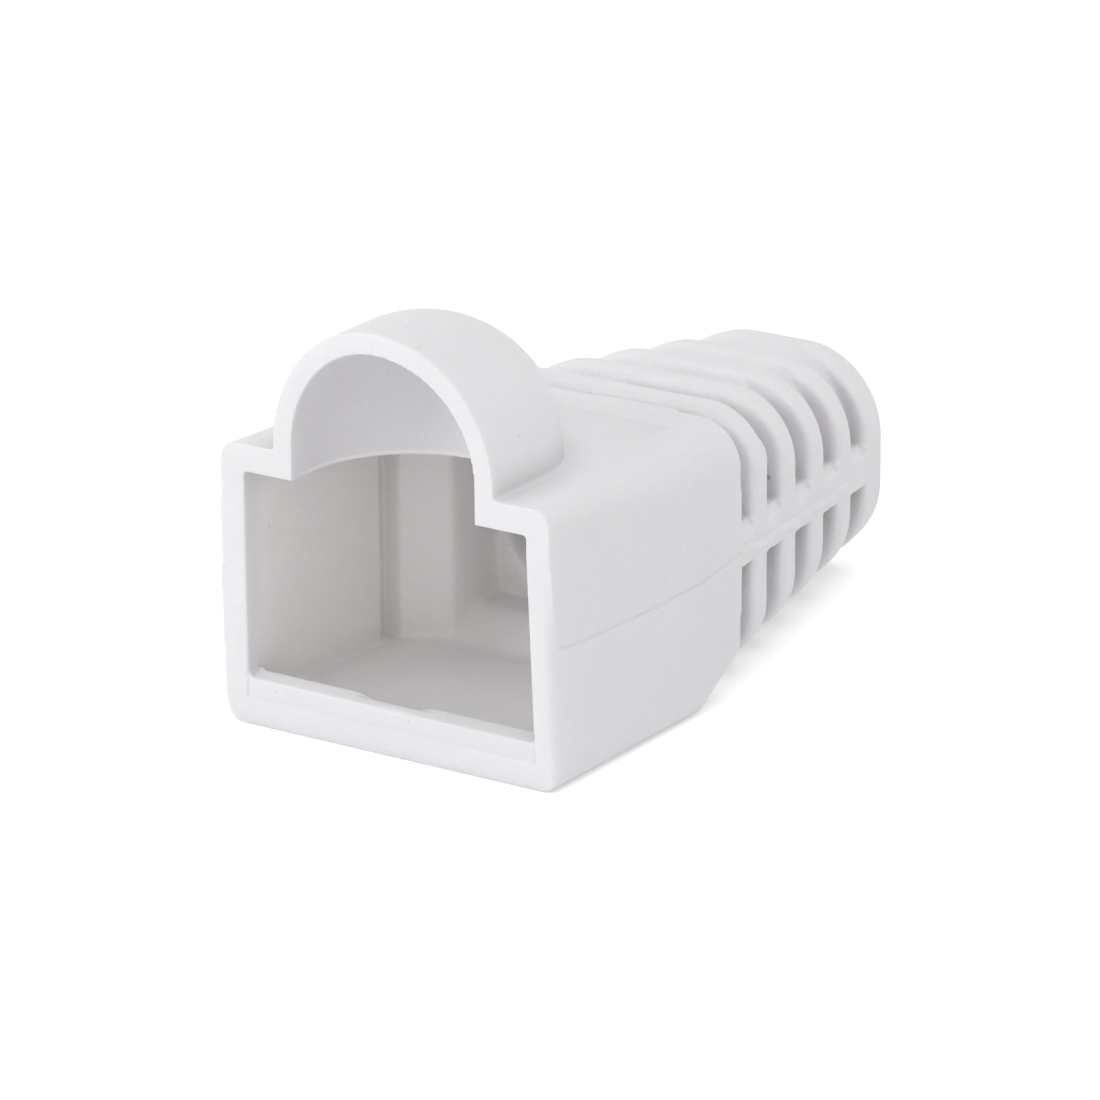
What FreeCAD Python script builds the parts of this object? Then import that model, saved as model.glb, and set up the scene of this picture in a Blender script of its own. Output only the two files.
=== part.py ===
import FreeCAD, Part
import math
import os

# Strain relief boot for an 8P8C plug: one soft moulding, millimetres.
# X runs across the plug, Y along the cable (mouth at Y = 0, cable leaves to +Y), Z is up.
# The origin is on the underside, in the middle of the mouth's lower edge.

Vector = FreeCAD.Vector

# ---- what goes in the boot ----
plugWidth = 11.7            # plug body, across
plugHeight = 8.2            # plug body, without its latch
plugFit = 0.05              # play each side of the plug at the mouth
cableRadius = 3.0           # jacket of the largest cable

# ---- box around the plug ----
mouthWall = 0.95            # side wall at the mouth, at its top
topWall = 0.98
floorWall = 0.80
boxLength = 11.7            # mouth to the box's rear edge
topFall = 0.12              # how far the top drops from mouth to rear
partingAboveMiddle = 0.12   # the mould halves meet this far above mid-height
partingSwell = 0.12         # the side is this much wider there than at the top
underTuck = 0.03            # and this much narrower at the underside
rearFlare = 0.05            # the rear is this much wider each side
frontTopRadius = 0.60
rearTopRadius = 1.65
underRadius = 0.75
underTrim = 0.01            # the outline starts this far below the flat underside
slopeLength = 2.22          # the underside's last stretch rises to the tail
slopeAngle = 31.5           # degrees

# ---- space for the plug ----
rearBlock = 3.40            # side of the cavity stops this far before the box's rear edge
cavityDraft = 2.6           # each side wall closes in at this angle, degrees
shoulderRadius = 9.0        # rear wall of the cavity, curved in plan
throatSide = 0.55           # the throat is this much wider than the bore, each side
throatAbove = 0.30          # and this much taller, above it
throatFloorWall = 0.75
throatPastBox = 0.55        # how far the throat runs into the tail
leadFlare = 0.50            # the bore starts this much wider
leadLength = 3.0            # and narrows to the cable's size over this length

# ---- retaining lip across the bottom of the mouth ----
lipHeight = 1.10            # above the cavity floor
lipThickness = 1.00
lipFall = 0.20              # the lip's top drops this much towards the mouth
scoopRadius = 4.50
scoopDepth = (0.18, 0.09)   # at the mouth and at the lip's inner edge

# ---- latch hood ----
hoodRadius = 4.65
hoodAxisRise = 0.29         # its axis above the box's top
hoodBarrel = 2.80           # straight part, before the dome
hoodWall = 0.77
pocketBarrel = 1.78         # straight part of the pocket inside

# ---- ribbed tail: values in brackets are at the box and at the end ----
tailLength = 13.95
tailStep = 0.13             # the tail stands in this far from the box's sides
tailTopStep = 0.08
tailUnder = (0.64, 0.57)    # its underside above the box's
endSideWall = 1.22          # round the cable bore, at the end
endWall = 0.90              # above and below it
topRound = (2.10, 3.15)
leftRound = (3.55, 3.15)      # the upper corner at -X is rounder
underRound = (1.60, 3.00)
endRounding = 0.32
ribCount = 4
ribWidth = 1.32
frontCrest = 1.14           # each rib's edge towards the box is rounded this far on top
sideCrest = 0.34            # and this far down the sides and underneath
shoulderKeep = (1.0, 1.7)   # the shoulders, left and right, tighten by this share of the extra rounding on top
rearCrest = 0.16            # the edge towards the end is rounded this far all round
firstGrooveWidth = 1.52     # between the box and the first rib
collarLength = 1.74         # plain ring at the end
grooveSideDepth = 0.80
tubeRoof = (0.64, 1.00)     # wall over the bore under the grooves, which run out on top at the end
grooveUnderDepth = (0.38, -0.05)
bridgeHalfHeight = 0.74     # bar along each side that the grooves stop at
bridgeAboveParting = 0.17

# ---- worked out from the above ----
mouthHalfWidth = plugWidth / 2 + plugFit
cavityTop = floorWall + plugHeight + 2 * plugFit
cavityDepth = boxLength - rearBlock
boxTop = cavityTop + topWall
boxTopHalfWidth = mouthHalfWidth + mouthWall
partingHeight = boxTop / 2 + partingAboveMiddle
slopeStart = boxLength - slopeLength
slopeRise = math.tan(math.radians(slopeAngle))
hoodAxis = boxTop + hoodAxisRise
throatHalfWidth = cableRadius + throatSide
throatBottom = tailUnder[0] + grooveUnderDepth[0] + throatFloorWall
throatEnd = boxLength + throatPastBox
tailEnd = boxLength + tailLength
tailHalfWidth = (boxTopHalfWidth + rearFlare - tailStep, cableRadius + endSideWall)
tailTop = (boxTop - topFall - tailTopStep, tailUnder[1] + 2 * (cableRadius + endWall))
collarStart = tailEnd - collarLength
ribPitch = (collarStart - boxLength - firstGrooveWidth) / ribCount
bridgeHeight = (partingHeight + bridgeAboveParting, tailUnder[1] + cableRadius + endWall)
overlap = 0.6               # how far tools reach past the faces that they cut or join


def along(pair, y):
    """A value that runs evenly from the box to the tail's end."""
    return pair[0] + (pair[1] - pair[0]) * (y - boxLength) / tailLength


def roundedWire(corners, y):
    """Closed outline in the plane Y = y from (x, z, radius) corners."""
    edges = []
    count = len(corners)
    spans = []
    for index, (x, z, radius) in enumerate(corners):
        here = Vector(x, y, z)
        before = Vector(corners[index - 1][0], y, corners[index - 1][1])
        after = Vector(corners[(index + 1) % count][0], y, corners[(index + 1) % count][1])
        back = (before - here).normalize()
        ahead = (after - here).normalize()
        half = back.getAngle(ahead) / 2
        reach = radius / math.tan(half)
        middle = (back + ahead).normalize() if radius else Vector(0, 0, 0)
        crown = here + middle * (radius / math.sin(half) - radius)
        spans.append((here + back * reach, crown, here + ahead * reach, radius))
    for index, (start, crown, end, radius) in enumerate(spans):
        if radius:
            edges.append(Part.Arc(start, crown, end).toShape())
        edges.append(Part.LineSegment(end, spans[(index + 1) % count][0]).toShape())
    return Part.Wire(edges)


def loft(wires):
    return Part.makeLoft(wires, True, True)


def block(x0, x1, y0, y1, z0, z1):
    return Part.makeBox(x1 - x0, y1 - y0, z1 - z0, Vector(x0, y0, z0))


def boxSection(y, bottom):
    """Box outline: widest at the parting line, narrower above and below it."""
    share = y / boxLength
    topHalf = boxTopHalfWidth + rearFlare * share
    top = boxTop - topFall * share
    topRadius = frontTopRadius + (rearTopRadius - frontTopRadius) * share
    partingHalf = topHalf + partingSwell
    tuck = (partingSwell + underTuck) * (partingHeight - bottom) / partingHeight
    underHalf = partingHalf - tuck
    return roundedWire([
        (-underHalf, bottom, underRadius), (underHalf, bottom, underRadius),
        (partingHalf, partingHeight, 0),
        (topHalf, top, topRadius), (-topHalf, top, topRadius), (-partingHalf, partingHeight, 0)], y)


def makeBox():
    middle = boxSection(slopeStart, -underTrim)
    front = loft([boxSection(0, -underTrim), middle])
    rear = loft([middle, boxSection(boxLength, slopeLength * slopeRise)])
    wide = 2 * boxTopHalfWidth
    above = block(-wide, wide, -overlap, boxLength + overlap, 0, 2 * boxTop)
    return front.fuse(rear).common(above)


def tailSection(y, inset=0.0, topInset=0.0):
    """Outline of the tail at Y = y, or one inside it that stands further in on top."""
    extra = max(topInset - inset, 0)
    half = along(tailHalfWidth, y) - inset
    top = along(tailTop, y) - inset - extra
    bottom = along(tailUnder, y) + inset
    left = along(leftRound, y) - inset - shoulderKeep[0] * extra
    right = along(topRound, y) - inset - shoulderKeep[1] * extra
    lower = along(underRound, y) - inset
    return roundedWire([
        (-half, bottom, lower), (half, bottom, lower), (half, top, right), (-half, top, left)], y)


def coreSection(y):
    """Outline of the tube that the ribs stand on: the bottoms of the grooves."""
    half = along(tailHalfWidth, y) - grooveSideDepth
    top = along(bridgeHeight, y) + cableRadius + along(tubeRoof, y)
    bottom = along(tailUnder, y) + along(grooveUnderDepth, y)
    left = along(leftRound, y)
    right = along(topRound, y)
    lower = along(underRound, y)
    return roundedWire([
        (-half, bottom, lower), (half, bottom, lower), (half, top, right), (-half, top, left)], y)


def quarter(radius, distance):
    """How far an edge rounded to this radius stands in, at this distance from its face."""
    left = max(radius - distance, 0)
    return radius - math.sqrt(radius ** 2 - left ** 2)


def frontEdge(face):
    """Outlines that round the edge of a rib or the collar towards the box."""
    sections = []
    for share in (0, 0.04, 0.13, 0.36, 0.64, 1):
        distance = frontCrest * share
        sections.append(tailSection(face + distance, quarter(sideCrest, distance), quarter(frontCrest, distance)))
    return sections


def rearEdge(face):
    sections = []
    for share in (1, 0.5, 0.13, 0):
        distance = rearCrest * share
        sections.append(tailSection(face - distance, quarter(rearCrest, distance)))
    return sections


def makeRib(front):
    return loft(frontEdge(front) + rearEdge(front + ribWidth))


def makeCollar():
    collar = loft(frontEdge(collarStart) + [tailSection(tailEnd)])
    rim = [edge for edge in collar.Edges if edge.CenterOfMass.y > tailEnd - 1e-6]
    return collar.makeFillet(endRounding, rim)


def makeBridge():
    """The bar along each side, flush with the ribs, as one band across the tail."""
    tail = loft([tailSection(boxLength), tailSection(collarStart + frontCrest)])
    reach = 2 * boxTopHalfWidth
    ends = []
    for y in (boxLength - overlap, tailEnd):
        low = along(bridgeHeight, y) - bridgeHalfHeight
        high = along(bridgeHeight, y) + bridgeHalfHeight
        ends.append(roundedWire([
            (-reach, low, 0), (reach, low, 0), (reach, high, 0), (-reach, high, 0)], y))
    return tail.common(loft(ends))


def makeTail():
    root = Part.Face(coreSection(boxLength)).extrude(Vector(0, slopeStart - boxLength, 0))
    core = loft([coreSection(boxLength), coreSection(collarStart + frontCrest)])
    ribs = []
    for index in range(ribCount):
        ribs.append(makeRib(boxLength + firstGrooveWidth + ribPitch * index))
    return root.fuse([core, makeCollar(), makeBridge()] + ribs)


def hoodForm(radius, barrel, front, bottom):
    """Arch over the latch: a barrel along Y that ends in a dome, on straight legs."""
    centre = Vector(0, barrel, hoodAxis)
    arch = Part.makeCylinder(radius, barrel - front, Vector(0, front, hoodAxis), Vector(0, 1, 0))
    dome = Part.makeSphere(radius, centre)
    legs = block(-radius, radius, front, barrel, bottom, hoodAxis)
    rear = Part.makeCylinder(radius, hoodAxis - bottom, Vector(0, barrel, bottom), Vector(0, 0, 1))
    upper = block(-radius - 1, radius + 1, front, barrel + radius + 1, bottom, hoodAxis + radius + 1)
    return arch.fuse([dome, legs, rear]).common(upper).removeSplitter()


def makeCavity():
    """Plug space, curved shoulder, throat and cable bore."""
    rearHalf = mouthHalfWidth - cavityDepth * math.tan(math.radians(cavityDraft))
    grow = overlap * math.tan(math.radians(cavityDraft))
    outlines = []
    for y, half in ((-overlap, mouthHalfWidth + grow), (cavityDepth, rearHalf)):
        outlines.append(roundedWire([
            (-half, floorWall, 0), (half, floorWall, 0), (half, cavityTop, 0), (-half, cavityTop, 0)], y))
    plugSpace = loft(outlines)

    # the shoulder is the part of an upright cylinder that lies behind the plug
    rise = shoulderRadius ** 2 - rearHalf ** 2
    axis = cavityDepth - math.sqrt(rise)
    height = cavityTop - floorWall
    drum = Part.makeCylinder(shoulderRadius, height, Vector(0, axis, floorWall), Vector(0, 0, 1))
    front = cavityDepth - overlap
    shoulder = drum.common(block(-rearHalf, rearHalf, front, throatEnd, floorWall, cavityTop))

    throatTop = along(bridgeHeight, throatEnd) + cableRadius + throatAbove
    throat = block(-throatHalfWidth, throatHalfWidth, front, throatEnd, floorWall, throatTop)

    # the floor behind the plug rises with the underside
    lift = floorWall / math.cos(math.radians(slopeAngle))
    wide = 2 * boxTopHalfWidth
    rampStart = slopeStart - (lift - floorWall) / slopeRise
    rampEnd = rampStart + (throatBottom - floorWall) / slopeRise
    ramp = Part.makePolygon([
        Vector(-wide, rampStart, floorWall), Vector(-wide, rampEnd, throatBottom),
        Vector(-wide, throatEnd + overlap, throatBottom), Vector(-wide, throatEnd + overlap, -overlap),
        Vector(-wide, rampStart, -overlap), Vector(-wide, rampStart, floorWall)])
    rampBlock = Part.Face(ramp).extrude(Vector(2 * wide, 0, 0))
    return plugSpace.fuse([shoulder.cut(rampBlock), throat.cut(rampBlock)])


def makeBore():
    """Round hole along the tail's own axis, with a cone that leads the cable in."""
    start = Vector(0, throatEnd, along(bridgeHeight, throatEnd))
    end = Vector(0, tailEnd, along(bridgeHeight, tailEnd))
    axis = (end - start).normalize()
    hole = Part.makeCylinder(cableRadius, (end - start).Length + overlap, start, axis)
    cone = Part.makeCone(cableRadius + leadFlare, cableRadius, leadLength, start, axis)
    return cone.fuse(hole)


def makeLip():
    """Low rib across the mouth that holds the plug in, with a shallow scoop in its middle."""
    top = floorWall + lipHeight
    side = mouthHalfWidth + mouthWall / 2
    profile = Part.makePolygon([
        Vector(-side, 0, floorWall - overlap / 2), Vector(-side, 0, top - lipFall),
        Vector(-side, lipThickness, top), Vector(-side, lipThickness, floorWall - overlap / 2),
        Vector(-side, 0, floorWall - overlap / 2)])
    rib = Part.Face(profile).extrude(Vector(2 * side, 0, 0))
    start = Vector(0, 0, top - lipFall - scoopDepth[0] + scoopRadius)
    end = Vector(0, lipThickness, top - scoopDepth[1] + scoopRadius)
    axis = (end - start).normalize()
    scoop = Part.makeCylinder(scoopRadius, lipThickness + 3 * overlap, start - axis * overlap, axis)
    return rib.cut(scoop)


def makeBoot():
    hood = hoodForm(hoodRadius, hoodBarrel, 0, boxTop - topWall)
    pocket = hoodForm(hoodRadius - hoodWall, pocketBarrel, -overlap, cavityTop - overlap)
    outside = makeBox().fuse([hood, makeTail()])
    inside = makeCavity().fuse([pocket, makeBore()])
    boot = outside.cut(inside).fuse(makeLip()).removeSplitter()
    return boot.Solids[0] if len(boot.Solids) == 1 else boot


os.makedirs("parts", exist_ok=True)
boot = makeBoot()
boot.exportStep("parts/strain_relief_boot.step")
print("solids", len(boot.Solids), "valid", boot.isValid(), "volume mm3", round(boot.Volume, 2))
centre = boot.Solids[0].CenterOfMass
print("centre of mass", round(centre.x, 3), round(centre.y, 3), round(centre.z, 3))
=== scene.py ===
import math

import bmesh
import bpy
import numpy as np
from mathutils import Matrix, Vector


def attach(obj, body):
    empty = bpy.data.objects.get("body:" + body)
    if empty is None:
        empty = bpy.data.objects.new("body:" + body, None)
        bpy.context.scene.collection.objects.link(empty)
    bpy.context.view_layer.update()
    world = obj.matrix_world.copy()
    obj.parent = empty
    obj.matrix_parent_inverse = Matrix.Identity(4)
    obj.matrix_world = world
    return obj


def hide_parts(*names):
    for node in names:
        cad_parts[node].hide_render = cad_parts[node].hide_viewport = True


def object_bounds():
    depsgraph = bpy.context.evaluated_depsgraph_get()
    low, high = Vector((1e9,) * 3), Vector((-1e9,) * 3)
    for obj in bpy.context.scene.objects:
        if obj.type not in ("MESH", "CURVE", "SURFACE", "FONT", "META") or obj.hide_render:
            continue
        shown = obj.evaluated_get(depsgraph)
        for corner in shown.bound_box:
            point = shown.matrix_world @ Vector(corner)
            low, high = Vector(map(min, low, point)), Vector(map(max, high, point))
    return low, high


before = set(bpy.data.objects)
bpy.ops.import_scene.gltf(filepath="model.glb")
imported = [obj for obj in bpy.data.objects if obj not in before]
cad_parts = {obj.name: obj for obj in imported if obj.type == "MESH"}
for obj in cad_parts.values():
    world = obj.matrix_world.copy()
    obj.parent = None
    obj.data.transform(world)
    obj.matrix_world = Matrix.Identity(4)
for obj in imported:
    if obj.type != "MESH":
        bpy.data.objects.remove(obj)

cadBox = [list(corner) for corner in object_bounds()]
mm = 0.001  # the frame is in metres, and the sizes below are in millimetres


# ---- small helpers ----

def ramp(values, low, high):
    t = np.clip((values - low) / (high - low), 0.0, 1.0)
    return t * t * (3.0 - 2.0 * t)


def mound(distance, reach):
    return np.clip(1.0 - (distance / reach) ** 2, 0.0, 1.0) ** 2


def apart(points, centre):
    return np.linalg.norm(points - np.array(centre), axis=1)


def baked(piece):
    # the piece's mesh with its modifiers applied
    graph = bpy.context.evaluated_depsgraph_get()
    mesh = bpy.data.meshes.new_from_object(piece.evaluated_get(graph), depsgraph=graph)
    piece.modifiers.clear()
    piece.data = mesh


def readPoints(mesh):
    flat = np.empty(len(mesh.vertices) * 3, dtype=np.float32)
    mesh.vertices.foreach_get("co", flat)
    return flat.reshape(-1, 3).astype(np.float64)


def writePoints(mesh, points):
    mesh.vertices.foreach_set("co", points.astype(np.float32).ravel())
    mesh.update()


def readNormals(mesh):
    flat = np.empty(len(mesh.vertices) * 3, dtype=np.float32)
    mesh.vertices.foreach_get("normal", flat)
    return flat.reshape(-1, 3).astype(np.float64)


def relax(mesh, points, strength, rounds):
    # each point moves towards the middle of its neighbours, by its own strength
    pairs = np.empty(len(mesh.edges) * 2, dtype=np.int32)
    mesh.edges.foreach_get("vertices", pairs)
    first, second = pairs[0::2], pairs[1::2]
    count = len(points)
    valence = np.bincount(first, minlength=count) + np.bincount(second, minlength=count)
    for _ in range(rounds):
        for axis in range(3):
            column = points[:, axis]
            total = np.bincount(first, column[second], count) + np.bincount(second, column[first], count)
            column += strength * (total / valence - column)


# ---- the boot, one soft moulding ----

boot = {
    "voxel": 0.06,
    "triangles": 190000,
    "boxLength": 11.7,
    "tailLength": 13.95,
    "sideHalf": 6.97,          # from the middle to the box's side at the parting line
    "mouthSoftening": 2,       # rounds of smoothing at the mouth, and further back
    "bodySoftening": 4,
    # the mouth isn't square: its top right corner stands this far in front of the rest
    "mouthLean": 0.50,
    "leanReach": 1.0,
    "leanAcross": (-4.2, 1.2),
    "leanHeight": 8.4,
    "edgeBack": 0.36,          # and the lower part of its right edge is rounded off
    "edgeFrom": 6.45,
    "edgeWidth": 0.50,
    "edgeHeights": (4.6, 8.2),
    # where the mould's halves meet along the side: distance from the mouth, and height
    "partingLine": ((0.0, 5.16), (3.0, 5.02), (6.5, 4.90), (9.2, 4.95), (11.7, 5.28)),
    "partingStep": 0.035,
    "partingFade": (0.6, 2.5),  # the step fades out this far above the line
    "partingGroove": 0.045,
    "partingReach": 0.075,
    "footInset": 0.035,        # low on the left, the mould's foot stands in this far
    "footHeights": (0.84, 0.90),
    # bar along the tail, at its front and at its end, and the flash on it
    "barCentre": (5.33, 4.47),
    "barHalfHeight": 0.74,
    "barHalfWidth": (6.82, 4.22),
    "seamBelowBar": 0.33,
    "seamHeight": 0.13,
    "seamReach": 0.26,
    "seamWave": 0.05,
    "seamGroove": 0.03,
    "seamGrooveAbove": 0.20,
    "seamGrooveReach": 0.12,
    "seamFade": (0.60, 0.85),
    # shallow panel on top, behind the hood
    "panelHalfWidth": 5.06,
    "panelRear": 9.95,
    "panelFront": 6.2,
    "panelDepth": 0.035,
    # thin flash on the box's top rear edge: where it rises and ends, across
    "edgeFlashRise": (0.4, 1.6),
    "edgeFlashEnd": (4.2, 4.45),
    "edgeFlashHeight": 9.93,
    "edgeFlashReach": 0.16,
    "edgeFlashBack": 0.13,
    "edgeFlashUp": 0.03,
    # lip across the bottom of the mouth
    "lipEnd": 5.90,
    "lipBottom": 1.00,
    "lipTop": 1.90,
    "lipGap": 0.05,
    "lipGapReach": 0.085,
    "lipLineDepth": 0.025,
    "scoopMiddle": 0.12,
    "scoopReach": 1.15,
    "scoopFront": 0.24,        # how far its front dips, and its inner edge rises
    "scoopInner": 0.08,
    # torn tips that the trimming left: place, reach and height
    "tornTips": (
        ((-5.66, 1.0, 1.90), 0.20, 0.13),
        ((-0.92, 1.0, 1.84), 0.20, 0.09),
        ((1.14, 1.0, 1.86), 0.20, 0.10),
        ((-5.86, 0.55, 1.78), 0.18, 0.07),
    ),
    # behind the plug space the edges are well rounded, and the corners have upright channels
    "throatSoftening": 60,
    "slopeStart": 9.48,
    "slopeRise": 0.613,
    "channelAt": (5.50, 8.28),
    "channelReach": 0.50,
    "channelDepth": 0.42,
    # tail
    "firstGroove": 11.87,
    "ribPitch": 2.6725,
    "grooveWidth": 1.35,
    "groovesLength": 12.25,
    "grooveEndBevel": 0.34,
    # on top, right of the middle, the ribs' front edges are less rounded than in the frame's solid
    "ribStart": 13.22,
    "ribCrest": (1.14, 0.66),
    "tailTop": (9.88, 8.37),
    "coreTop": (8.97, 8.47),
    "flatEnd": (4.67, 1.07),
    # sliver standing on the first rib's rear edge
    "ribFlashAt": (6.0, 14.50, 7.95),
    "ribFlashSize": (0.45, 0.20, 0.85),
    "ribFlashHeight": 0.10,
}


def partingHeight(y):
    spots = np.array(boot["partingLine"])
    return np.interp(y, spots[:, 0], spots[:, 1])


def alongTail(key, y):
    # a value that runs evenly from the tail's front to its end
    front, end = boot[key]
    return front + (end - front) * (y - boot["boxLength"]) / boot["tailLength"]


def leanMouth(points):
    x, y, z = points.T
    forward = ramp(x, *boot["leanAcross"]) * np.clip(z / boot["leanHeight"], 0.0, 1.0)
    back = boot["mouthLean"] * (1.0 - forward)
    nearEdge = np.clip((x - boot["edgeFrom"]) / boot["edgeWidth"], 0.0, 1.0)
    back += boot["edgeBack"] * nearEdge ** 2 * (1.0 - ramp(z, *boot["edgeHeights"]))
    left = np.clip(1.0 - y / boot["leanReach"], 0.0, 1.0)
    points[:, 1] += back * left


def stepAtParting(points, normals):
    # the upper half of the mould is a little narrower, and a hairline runs between the halves
    x, y, z = points.T
    onSide = ramp(np.abs(x), boot["sideHalf"] - 0.45, boot["sideHalf"] - 0.25)
    onSide *= y < boot["boxLength"] - 0.02
    above = z - partingHeight(y)
    near, far = boot["partingFade"]
    inward = boot["partingStep"] * ramp(above, -0.04, 0.04) * ramp(-above, -far, -near)
    inward += boot["partingGroove"] * mound(above, boot["partingReach"])
    points[:, 0] -= np.sign(x) * onSide * inward * np.abs(normals[:, 0])
    onFoot = (x < -6.5) * (1.0 - ramp(z, *boot["footHeights"])) * (y < boot["boxLength"] - 3)
    points[:, 0] += boot["footInset"] * onFoot


def raiseSeam(points, normals):
    # an uneven ridge of flash along the bar on each side of the tail
    x, y, z = points.T
    along = (y - boot["boxLength"]) / boot["tailLength"]
    below = boot["seamBelowBar"] * ramp(along, -0.3, 0.25)
    level = z - (alongTail("barCentre", y) - below) - boot["seamWave"] * np.sin(y * 2.1)
    uneven = 0.55 + 0.30 * np.sin(y * 2.35 + 0.8) + 0.15 * np.sin(y * 5.3)
    fade = ramp(along, 0.0, 0.05) * (1.0 - ramp(along, *boot["seamFade"]))
    height = boot["seamHeight"] * uneven * fade
    outside = np.clip(np.abs(normals[:, 0]), 0.0, 1.0) * (np.abs(x) > 3.6)
    groove = mound(level - boot["seamGrooveAbove"], boot["seamGrooveReach"])
    rise = height * mound(level, boot["seamReach"]) - boot["seamGroove"] * groove * fade
    points[:, 0] += np.sign(x) * outside * rise


def sinkPanel(points, normals):
    x, y, z = points.T
    inside = 1.0 - ramp(np.abs(x), boot["panelHalfWidth"] - 0.05, boot["panelHalfWidth"] + 0.05)
    inside *= 1.0 - ramp(y, boot["panelRear"] - 0.05, boot["panelRear"] + 0.05)
    inside *= ramp(y, boot["panelFront"], boot["panelRear"] - 1.2)
    flatTop = (normals[:, 2] > 0.9) & (z > 9.7)
    points[:, 2] -= boot["panelDepth"] * inside * flatTop


def raiseEdgeFlash(points):
    x, y, z = points.T
    where = ramp(x, *boot["edgeFlashRise"]) * (1.0 - ramp(x, *boot["edgeFlashEnd"]))
    offset = np.hypot(y - boot["boxLength"], z - boot["edgeFlashHeight"])
    where *= mound(offset, boot["edgeFlashReach"])
    points[:, 1] += boot["edgeFlashBack"] * where
    points[:, 2] += boot["edgeFlashUp"] * where


def detailLip(points, normals):
    x, y, z = points.T
    front = 1.0 - ramp(y, 0.75, 1.0)
    tall = ramp(z, boot["lipBottom"] - 0.06, boot["lipBottom"] + 0.02)
    tall *= 1.0 - ramp(z, boot["lipTop"] + 0.1, boot["lipTop"] + 0.3)
    slit = mound(np.abs(x) - boot["lipEnd"], boot["lipGapReach"]) * tall
    line = mound(z - boot["lipBottom"] + 0.03, 0.07) * (np.abs(x) < boot["lipEnd"])
    facing = np.clip(-normals[:, 1], 0.0, 1.0)
    points[:, 1] += facing * front * (boot["lipGap"] * slit + boot["lipLineDepth"] * line)
    onTop = ramp(z, boot["lipTop"] - 0.65, boot["lipTop"] - 0.3) * (z < 2.4)
    scooped = mound(x - boot["scoopMiddle"], boot["scoopReach"]) * onTop
    rise = boot["scoopInner"] * ramp(y, 0.7, 0.95)
    dip = boot["scoopFront"] * (1.0 - ramp(y, 0.15, 0.6))
    points[:, 2] += scooped * (rise - dip)
    for place, reach, height in boot["tornTips"]:
        points[:, 2] += height * mound(apart(points, place), reach) * (normals[:, 2] > 0.0)


def quarter(radius, distance):
    left = np.clip(radius - distance, 0.0, radius)
    return radius - np.sqrt(radius ** 2 - left ** 2)


def steepenRibs(points):
    x, y, z = points.T
    spot = np.mod(y - boot["ribStart"], boot["ribPitch"])
    rounded, steeper = boot["ribCrest"]
    tailTop = alongTail("tailTop", y)
    coreTop = alongTail("coreTop", y)
    wanted = np.maximum(tailTop - quarter(steeper, spot), coreTop)
    raised = (wanted - np.maximum(tailTop - quarter(rounded, spot), coreTop)) * ramp(spot, 0.0, 0.07)
    raised *= ramp(x, -3.0, 0.5) * (1.0 - ramp(x - alongTail("flatEnd", y), -0.3, 1.2))
    raised *= ramp(z - coreTop, -0.20, -0.05) * (y > boot["ribStart"] - 0.01)
    points[:, 2] += raised * (1.0 - ramp((y - boot["boxLength"]) / boot["tailLength"], 0.88, 0.95))


def softenThroat(mesh, points):
    x, y, z = points.T
    slopeLength = boot["boxLength"] - boot["slopeStart"]
    under = boot["slopeRise"] * np.clip(y - boot["slopeStart"], 0.0, slopeLength)
    inside = ramp(z - under, 0.35, 0.50) * (1.0 - ramp(z, 8.5, 8.8))
    inside *= 1.0 - ramp(np.abs(x), 4.6, 5.1)
    inside *= ramp(y, 7.9, 8.3) * (1.0 - ramp(y, 13.0, 14.0))
    relax(mesh, points, 0.5 * inside, boot["throatSoftening"])


def deepenCorners(points):
    # an upright channel where each side wall of the plug space meets the shoulder
    x, y, z = points.T
    corner = np.hypot(np.abs(x) - boot["channelAt"][0], y - boot["channelAt"][1])
    tall = ramp(z, 0.78, 0.90) * (1.0 - ramp(z, 9.0, 9.2))
    push = boot["channelDepth"] * mound(corner, boot["channelReach"]) * tall
    points[:, 0] += np.sign(x) * push * 0.8
    points[:, 1] += push * 0.6


def softenGrooveEnds(points):
    # the bar's upper edge is bevelled where the grooves end on it
    x, y, z = points.T
    top = alongTail("barCentre", y) + boot["barHalfHeight"]
    half = alongTail("barHalfWidth", y)
    spot = np.mod(y - boot["firstGroove"], boot["ribPitch"])
    halfGroove = boot["grooveWidth"] / 2
    inGroove = 1.0 - ramp(np.abs(spot - halfGroove), halfGroove - 0.08, halfGroove)
    inGroove *= (y > boot["boxLength"] + 0.02) & (y < boot["boxLength"] + boot["groovesLength"])
    u = np.clip(top - z, 0.0, None)
    v = np.clip(half - np.abs(x), 0.0, None)
    near = (z < top + 0.1) & (np.abs(x) < half + 0.2)
    shift = 0.5 * np.clip(boot["grooveEndBevel"] - u - v, 0.0, None) * inGroove * near
    points[:, 0] -= np.sign(x) * shift
    points[:, 2] -= shift


def addFlashOnRib(points, normals):
    offset = (points - np.array(boot["ribFlashAt"])) / np.array(boot["ribFlashSize"])
    near = mound(np.linalg.norm(offset, axis=1), 1.0)
    points += normals * (boot["ribFlashHeight"] * near)[:, None]


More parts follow.
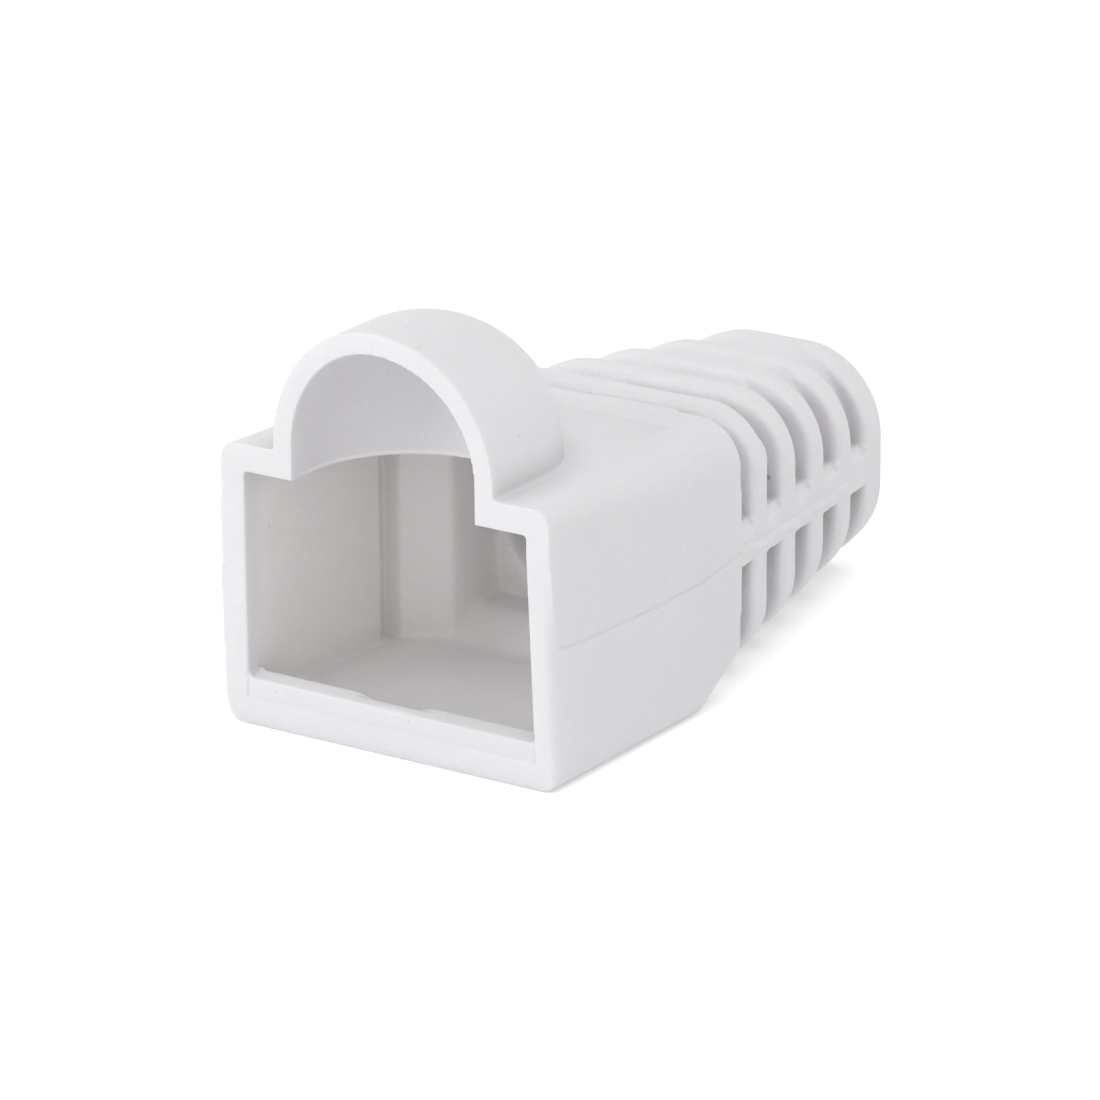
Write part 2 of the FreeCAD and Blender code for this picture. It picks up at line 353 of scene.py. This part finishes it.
def makeBoot():
    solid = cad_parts["strain_relief_boot"]
    shell = bmesh.new()
    shell.from_mesh(solid.data)
    bmesh.ops.remove_doubles(shell, verts=shell.verts, dist=0.001 * mm)
    bmesh.ops.scale(shell, vec=(1 / mm, 1 / mm, 1 / mm), verts=shell.verts)
    mesh = bpy.data.meshes.new("softBoot")
    shell.to_mesh(mesh)
    shell.free()
    piece = bpy.data.objects.new("softBoot", mesh)
    bpy.context.collection.objects.link(piece)

    remesh = piece.modifiers.new("evenMesh", "REMESH")
    remesh.mode = "VOXEL"
    remesh.voxel_size = boot["voxel"]
    baked(piece)
    print("boot: even mesh of", len(piece.data.vertices), "points")

    mesh = piece.data
    points = readPoints(mesh)
    steepenRibs(points)
    behindMouth = ramp(points[:, 1], 0.5, 1.5)
    relax(mesh, points, np.full(len(points), 0.5), boot["mouthSoftening"])
    relax(mesh, points, 0.5 * behindMouth, boot["bodySoftening"] - boot["mouthSoftening"])
    softenThroat(mesh, points)
    writePoints(mesh, points)
    normals = readNormals(mesh)
    deepenCorners(points)
    softenGrooveEnds(points)
    stepAtParting(points, normals)
    raiseSeam(points, normals)
    sinkPanel(points, normals)
    raiseEdgeFlash(points)
    leanMouth(points)
    writePoints(mesh, points)
    normals = readNormals(mesh)
    detailLip(points, normals)
    addFlashOnRib(points, normals)
    low, high = (np.array(corner) / mm for corner in cadBox)
    np.clip(points, low, high, out=points)
    writePoints(mesh, points)

    mesh.calc_loop_triangles()
    thin = piece.modifiers.new("fewerTriangles", "DECIMATE")
    thin.ratio = min(1.0, boot["triangles"] / len(mesh.loop_triangles))
    baked(piece)
    mesh = piece.data
    mesh.transform(Matrix.Scale(mm, 4))
    mesh.shade_smooth()
    print("boot: finished with", len(mesh.polygons), "faces")
    return piece


# ---- materials ----

softPvc = {
    "colour": (0.835, 0.828, 0.852, 1.0),
    # painted light: a lighter, warmer colour for the plug space, standing in for the light bouncing
    # inside it
    "paintedInsideLight": (0.950, 0.930, 0.925, 1.0),
    "insideHalf": 5.97,        # where the painted inside light ends: across, and in height
    "insideHeights": (0.75, 9.3),
    "throatHalf": 4.1,         # and behind the box's rear face
    "throatHeights": (1.3, 8.3),
    "roughness": 0.46,
    "ior": 1.5,
    "scatter": 0.35,
    "scatterReach": 0.0008,
    "scatterColours": (1.0, 0.85, 0.75),
    # painted shade in seams, grooves and narrow gaps: its reach, strength and colour
    "gapReach": 0.0013,
    "gapShade": (0.56, 0.25),  # outside, and in the plug space
    "gapShadeColour": (0.33, 0.30, 0.285, 1.0),
    "mottleScale": 0.6,        # the scales are per millimetre
    "mottle": 0.03,
    "speckScale": 0.75,        # a few dark specks in the surface
    "speckSize": (0.022, 0.045),
    "speckShade": 0.80,
    "markAt": (5.40, 15.85, 6.58),  # a small dark mark on the second rib
    "markSize": (0.03, 0.15),
    "markShade": 0.50,
    "speckle": 0.07,
    "grainPerMm": 9.0,
    "grainDepth": 0.000015,
}


def node(tree, kind, **settings):
    made = tree.nodes.new(kind)
    for key, value in settings.items():
        setattr(made, key, value)
    return made


def calc(tree, operation, first, second=None, third=None):
    made = node(tree, "ShaderNodeMath", operation=operation)
    for socket, value in zip(made.inputs, (first, second, third)):
        if value is None:
            continue
        if isinstance(value, (int, float)):
            socket.default_value = value
        else:
            tree.links.new(value, socket)
    return made.outputs[0]


def blendColours(tree, mask, first, second):
    mix = node(tree, "ShaderNodeMix", data_type="RGBA")
    for socket, value in zip((mix.inputs[0], mix.inputs[6], mix.inputs[7]), (mask, first, second)):
        if isinstance(value, (tuple, float)):
            socket.default_value = value
        else:
            tree.links.new(value, socket)
    return mix.outputs[2]


def aroundOne(tree, value, amount):
    # a value from 0 to 1 becomes a shade that varies by this amount around 1
    return calc(tree, "MULTIPLY_ADD", value, amount, 1.0 - amount / 2)


def spotShade(tree, distance, size, darkest):
    # shade that is darkest within the first size and gone beyond the second
    fade = node(tree, "ShaderNodeMapRange", interpolation_type="SMOOTHSTEP")
    fade.inputs["From Min"].default_value, fade.inputs["From Max"].default_value = size
    fade.inputs["To Min"].default_value = darkest
    fade.inputs["To Max"].default_value = 1.0
    tree.links.new(distance, fade.inputs[0])
    return fade.outputs[0]


def makeSoftPvc():
    material = bpy.data.materials.new("softPvc")
    material.use_nodes = True
    tree = material.node_tree
    tree.nodes.clear()
    out = node(tree, "ShaderNodeOutputMaterial")
    shader = node(tree, "ShaderNodeBsdfPrincipled")
    shader.inputs["Roughness"].default_value = softPvc["roughness"]
    shader.inputs["IOR"].default_value = softPvc["ior"]
    shader.inputs["Subsurface Weight"].default_value = softPvc["scatter"]
    shader.inputs["Subsurface Scale"].default_value = softPvc["scatterReach"]
    shader.inputs["Subsurface Radius"].default_value = softPvc["scatterColours"]
    tree.links.new(shader.outputs[0], out.inputs[0])

    place = node(tree, "ShaderNodeTexCoord")
    scaled = node(tree, "ShaderNodeVectorMath", operation="SCALE")
    scaled.inputs["Scale"].default_value = 1 / mm
    tree.links.new(place.outputs["Object"], scaled.inputs[0])
    spot = scaled.outputs[0]
    split = node(tree, "ShaderNodeSeparateXYZ")
    tree.links.new(spot, split.inputs[0])
    x, y, z = split.outputs

    # painted light: inside the plug space the colour is lighter and warmer, standing in for the light
    # that bounces around in there
    fromMouth = calc(tree, "MULTIPLY_ADD", y, 0.055, -0.03)
    fromRear = calc(tree, "MULTIPLY_ADD", y, -0.02, 0.32)
    sideways = calc(tree, "ABSOLUTE", x)
    across = calc(tree, "SUBTRACT", softPvc["insideHalf"], sideways)
    low, high = softPvc["insideHeights"]
    upwards = calc(tree, "MINIMUM", calc(tree, "SUBTRACT", z, low), calc(tree, "SUBTRACT", high, z))
    # behind the box's rear face, only the throat and the bore
    low, high = softPvc["throatHeights"]
    inThroat = calc(tree, "MINIMUM", calc(tree, "SUBTRACT", z, low), calc(tree, "SUBTRACT", high, z))
    inThroat = calc(tree, "MINIMUM", inThroat, calc(tree, "SUBTRACT", softPvc["throatHalf"], sideways))
    inThroat = calc(tree, "MAXIMUM", inThroat, calc(tree, "SUBTRACT", boot["boxLength"] - 0.05, y))
    within = calc(tree, "MINIMUM", fromMouth, fromRear)
    for limit in (across, upwards, inThroat):
        within = calc(tree, "MINIMUM", within, limit)
    inside = node(tree, "ShaderNodeMapRange", interpolation_type="SMOOTHSTEP")
    inside.inputs["From Max"].default_value = 0.06
    tree.links.new(within, inside.inputs[0])

    mottle = node(tree, "ShaderNodeTexNoise")
    mottle.inputs["Scale"].default_value = softPvc["mottleScale"]
    mottle.inputs["Detail"].default_value = 3.0
    tree.links.new(spot, mottle.inputs["Vector"])
    shade = aroundOne(tree, mottle.outputs[0], softPvc["mottle"])

    specks = node(tree, "ShaderNodeTexVoronoi")
    specks.inputs["Scale"].default_value = softPvc["speckScale"]
    specks.inputs["Randomness"].default_value = 1.0
    tree.links.new(spot, specks.inputs["Vector"])
    speck = spotShade(tree, specks.outputs["Distance"], softPvc["speckSize"], softPvc["speckShade"])
    shade = calc(tree, "MULTIPLY", shade, speck)

    fromMark = node(tree, "ShaderNodeVectorMath", operation="DISTANCE")
    fromMark.inputs[1].default_value = softPvc["markAt"]
    tree.links.new(spot, fromMark.inputs[0])
    mark = spotShade(tree, fromMark.outputs["Value"], softPvc["markSize"], softPvc["markShade"])
    shade = calc(tree, "MULTIPLY", shade, mark)

    # fine speckle, and painted shade in the seams and other narrow gaps
    speckle = node(tree, "ShaderNodeTexNoise")
    speckle.inputs["Scale"].default_value = softPvc["grainPerMm"]
    speckle.inputs["Detail"].default_value = 1.0
    tree.links.new(spot, speckle.inputs["Vector"])
    shade = calc(tree, "MULTIPLY", shade, aroundOne(tree, speckle.outputs[0], softPvc["speckle"]))
    # painted shade: occlusion mixes a dark warm colour into the base wherever the surface is closed in
    gaps = node(tree, "ShaderNodeAmbientOcclusion", samples=3, only_local=True)
    gaps.inputs["Distance"].default_value = softPvc["gapReach"]
    closed = calc(tree, "SUBTRACT", 1.0, gaps.outputs["AO"])
    outside, plugSpace = softPvc["gapShade"]
    gapShade = calc(tree, "MULTIPLY_ADD", inside.outputs[0], plugSpace - outside, outside)
    gapShadeMask = calc(tree, "MULTIPLY", closed, gapShade)

    # painted light: the plug space gets the lighter, warmer colour in place of its bounced light
    base = blendColours(tree, inside.outputs[0], softPvc["colour"], softPvc["paintedInsideLight"])
    base = blendColours(tree, gapShadeMask, base, softPvc["gapShadeColour"])
    tint = node(tree, "ShaderNodeVectorMath", operation="SCALE")
    tree.links.new(base, tint.inputs[0])
    tree.links.new(shade, tint.inputs["Scale"])
    tree.links.new(tint.outputs[0], shader.inputs["Base Color"])

    # fine grain of the mould's spark-eroded surface
    grain = node(tree, "ShaderNodeTexNoise")
    grain.inputs["Scale"].default_value = softPvc["grainPerMm"]
    grain.inputs["Detail"].default_value = 2.0
    grain.inputs["Roughness"].default_value = 0.6
    tree.links.new(spot, grain.inputs["Vector"])
    bump = node(tree, "ShaderNodeBump")
    bump.inputs["Strength"].default_value = 1.0
    bump.inputs["Distance"].default_value = softPvc["grainDepth"]
    tree.links.new(grain.outputs[0], bump.inputs["Height"])
    tree.links.new(bump.outputs[0], shader.inputs["Normal"])
    return material


studio = {
    "floorColour": (0.93, 0.93, 0.935, 1.0),
    "floorLift": 0.35,         # what the camera sees on top of the floor's own colour
    "floorHalf": 1.2,
    "worldLevel": 0.56,
    # low lamp in front, soft box overhead, and a weak fill that reaches into the mouth
    "frontPower": 0.91,
    "frontSize": 0.30,
    "frontPlace": (-0.29, -0.37, 0.09),
    "topPower": 0.50,
    "topSize": 0.30,
    "topPlace": (0.15, 0.04, 0.42),
    "fillPower": 0.16,
    "fillSize": 0.24,
    "fillPlace": (0.14, -0.38, 0.26),
}


def seenRays(tree):
    # 1 for camera, glossy and transmission rays, 0 for the rest
    path = node(tree, "ShaderNodeLightPath")
    mirrored = calc(tree, "MAXIMUM", path.outputs["Is Glossy Ray"], path.outputs["Is Transmission Ray"])
    return calc(tree, "MAXIMUM", path.outputs["Is Camera Ray"], mirrored)


def makeFloor():
    half = studio["floorHalf"]
    mesh = bpy.data.meshes.new("floor")
    corners = [(-half, -half, 0), (half, -half, 0), (half, half, 0), (-half, half, 0)]
    mesh.from_pydata(corners, [], [(0, 1, 2, 3)])
    floor = bpy.data.objects.new("floor", mesh)
    bpy.context.collection.objects.link(floor)
    material = bpy.data.materials.new("paleFloor")
    material.use_nodes = True
    tree = material.node_tree
    tree.nodes.clear()
    out = node(tree, "ShaderNodeOutputMaterial")
    matt = node(tree, "ShaderNodeBsdfDiffuse")
    matt.inputs["Color"].default_value = studio["floorColour"]
    glow = node(tree, "ShaderNodeEmission")
    tree.links.new(calc(tree, "MULTIPLY", seenRays(tree), studio["floorLift"]), glow.inputs["Strength"])
    both = node(tree, "ShaderNodeAddShader")
    tree.links.new(matt.outputs[0], both.inputs[0])
    tree.links.new(glow.outputs[0], both.inputs[1])
    # seen from below, the floor lets the underside show
    clear = node(tree, "ShaderNodeBsdfTransparent")
    facing = node(tree, "ShaderNodeNewGeometry")
    sides = node(tree, "ShaderNodeMixShader")
    tree.links.new(facing.outputs["Backfacing"], sides.inputs[0])
    tree.links.new(both.outputs[0], sides.inputs[1])
    tree.links.new(clear.outputs[0], sides.inputs[2])
    tree.links.new(sides.outputs[0], out.inputs[0])
    mesh.materials.append(material)


def makeLamp(name, place, size, power, aim):
    lamp = bpy.data.lights.new(name, "AREA")
    lamp.shape = "DISK"
    lamp.size = size
    lamp.energy = power
    holder = bpy.data.objects.new(name, lamp)
    holder.location = place
    holder.rotation_euler = (Vector(aim) - Vector(place)).to_track_quat("-Z", "Y").to_euler()
    bpy.context.collection.objects.link(holder)


def makeLight():
    aim = (0.0, 0.012, 0.006)
    makeLamp("frontLamp", studio["frontPlace"], studio["frontSize"], studio["frontPower"], aim)
    makeLamp("topLamp", studio["topPlace"], studio["topSize"], studio["topPower"], aim)
    makeLamp("fillLamp", studio["fillPlace"], studio["fillSize"], studio["fillPower"], aim)
    world = bpy.data.worlds.new("softRoom")
    world.use_nodes = True
    tree = world.node_tree
    tree.nodes.clear()
    out = node(tree, "ShaderNodeOutputWorld")
    room = node(tree, "ShaderNodeBackground")
    room.inputs["Color"].default_value = (1.0, 1.0, 1.0, 1.0)
    level = node(tree, "ShaderNodeMapRange")
    level.inputs["To Min"].default_value = studio["worldLevel"]
    level.inputs["To Max"].default_value = 1.0
    tree.links.new(seenRays(tree), level.inputs[0])
    tree.links.new(level.outputs[0], room.inputs["Strength"])
    tree.links.new(room.outputs[0], out.inputs[0])
    bpy.context.scene.world = world
    bpy.context.scene.view_settings.view_transform = "Standard"


view = {
    "azimuth": 33.865,         # degrees to the right of straight into the mouth
    "elevation": 19.070,
    "roll": -0.463,
    "distance": 0.230,
    "lens": 215.7,
    "aim": (0.0, 0.0125, 0.006),
    "aside": -0.00125,         # the aim is moved this far in the picture's own directions
    "upward": -0.001989,
}


def makeCamera():
    turn = math.radians(view["azimuth"])
    lift = math.radians(view["elevation"])
    roll = math.radians(view["roll"])
    back = Vector((math.sin(turn) * math.cos(lift), -math.cos(turn) * math.cos(lift), math.sin(lift)))
    level = (-back).cross(Vector((0, 0, 1))).normalized()
    above = level.cross(-back)
    place = Vector(view["aim"]) + level * view["aside"] + above * view["upward"]
    place += back * view["distance"]
    right = level * math.cos(roll) + above * math.sin(roll)
    up = above * math.cos(roll) - level * math.sin(roll)
    camera = bpy.data.cameras.new("camera")
    camera.lens = view["lens"]
    camera.sensor_width = 36.0
    camera.clip_start = 0.01
    camera.clip_end = 10.0
    holder = bpy.data.objects.new("camera", camera)
    turned = Matrix((right, up, back)).transposed().to_4x4()
    holder.matrix_world = Matrix.Translation(place) @ turned
    bpy.context.collection.objects.link(holder)
    bpy.context.scene.camera = holder


makeCamera()
makeLight()
makeFloor()
softBoot = makeBoot()
softBoot.data.materials.clear()
softBoot.data.materials.append(makeSoftPvc())
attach(softBoot, "root")
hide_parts("strain_relief_boot")
print("materials and light are set")
